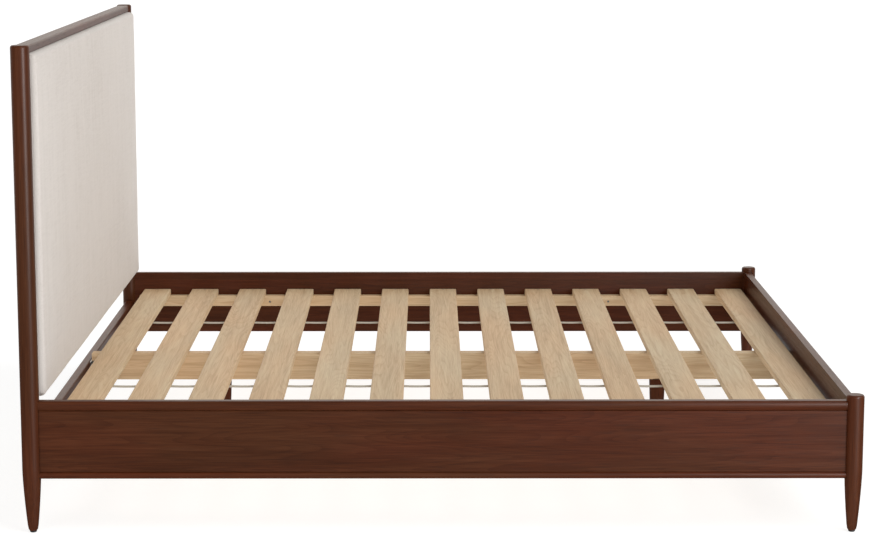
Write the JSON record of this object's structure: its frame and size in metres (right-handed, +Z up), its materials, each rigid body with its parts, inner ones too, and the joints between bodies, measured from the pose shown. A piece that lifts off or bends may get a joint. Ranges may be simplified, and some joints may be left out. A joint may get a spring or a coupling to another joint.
{
  "type": "wooden bed frame",
  "caption": "Wooden bed frame with round tapered posts, moulded side and foot rails, an upholstered headboard panel and a slatted base on a centre beam with levelling legs.",
  "frame": {"origin": "on the floor, at the centre of the frame's outline seen from above", "axes": "+X to the right seen from the foot, across the bed; +Y along the bed towards the headboard; +Z up"},
  "size_m": [2.068, 2.162, 1.255],
  "materials": {
    "stained_wood": "satin lacquer",
    "plain_wood": "sanded, clear sealed",
    "linen": "plain linen weave",
    "back_cloth": "woven lining on board",
    "foam": "open-cell foam",
    "webbing": "flat woven webbing",
    "steel": "zinc plated",
    "black_plastic": "matt"
  },
  "bodies": {
    "frame": {"head_post_left": "stained_wood", "head_post_right": "stained_wood", "foot_post_left": "stained_wood", "foot_post_right": "stained_wood", "head_top_rail": "stained_wood", "foot_rail": "stained_wood", "foot_bead_top": "stained_wood", "foot_bead_bottom": "stained_wood", "side_rail_left": "stained_wood", "side_rail_right": "stained_wood", "side_bead_top_left": "stained_wood", "side_bead_top_right": "stained_wood", "side_bead_bottom_left": "stained_wood", "side_bead_bottom_right": "stained_wood", "head_lower_rail": "stained_wood", "centre_leg_head": "stained_wood", "centre_leg_middle": "stained_wood", "centre_leg_foot": "stained_wood", "panel_board": "plain_wood", "panel_stile_left": "plain_wood", "panel_stile_right": "plain_wood", "panel_stile_centre": "plain_wood", "panel_batten_top": "plain_wood", "panel_batten_bottom": "plain_wood", "wooden_dowels": "plain_wood", "ledger_left": "plain_wood", "ledger_right": "plain_wood", "centre_beam": "plain_wood", "slat_01": "plain_wood", "slat_02": "plain_wood", "slat_03": "plain_wood", "slat_04": "plain_wood", "slat_05": "plain_wood", "slat_06": "plain_wood", "slat_07": "plain_wood", "slat_08": "plain_wood", "slat_09": "plain_wood", "slat_10": "plain_wood", "slat_11": "plain_wood", "slat_12": "plain_wood", "slat_13": "plain_wood", "panel_cover": "linen", "panel_back": "back_cloth", "panel_foam": "foam", "slat_straps": "webbing", "panel_screws": "steel", "ledger_screws": "steel", "hook_plates": "steel", "slot_plates": "steel", "wood_screws": "steel", "beam_hangers": "steel", "leg_bolts": "steel", "leg_inserts": "steel", "floor_glides": "black_plastic"},
    "pad_head": {"leveller_pad_head": "black_plastic"},
    "stem_head": {"leveller_stem_head": "steel"},
    "pad_middle": {"leveller_pad_middle": "black_plastic"},
    "stem_middle": {"leveller_stem_middle": "steel"},
    "pad_foot": {"leveller_pad_foot": "black_plastic"},
    "stem_foot": {"leveller_stem_foot": "steel"}
  },
  "joints": [
    {"name": "leveller_head_height", "type": "slide", "parent": "frame", "child": "pad_head", "axis": [0, 0, -1], "range_m": [-0.01, 0.015]},
    {"name": "leveller_head_screw", "type": "hinge", "parent": "pad_head", "child": "stem_head", "pos_m": [0, 0.65, 0.0065], "axis": [0, 0, -1], "range_deg": [-2890, 4330]},
    {"name": "leveller_middle_height", "type": "slide", "parent": "frame", "child": "pad_middle", "axis": [0, 0, -1], "range_m": [-0.01, 0.015]},
    {"name": "leveller_middle_screw", "type": "hinge", "parent": "pad_middle", "child": "stem_middle", "pos_m": [0, 0, 0.0065], "axis": [0, 0, -1], "range_deg": [-2890, 4330]},
    {"name": "leveller_foot_height", "type": "slide", "parent": "frame", "child": "pad_foot", "axis": [0, 0, -1], "range_m": [-0.01, 0.015]},
    {"name": "leveller_foot_screw", "type": "hinge", "parent": "pad_foot", "child": "stem_foot", "pos_m": [0, -0.65, 0.0065], "axis": [0, 0, -1], "range_deg": [-2890, 4330]}
  ],
  "couplings": [
    {"joint": "leveller_head_screw", "follows": "leveller_head_height", "rad_per_m": 5026.5},
    {"joint": "leveller_middle_screw", "follows": "leveller_middle_height", "rad_per_m": 5026.5},
    {"joint": "leveller_foot_screw", "follows": "leveller_foot_height", "rad_per_m": 5026.5}
  ]
}
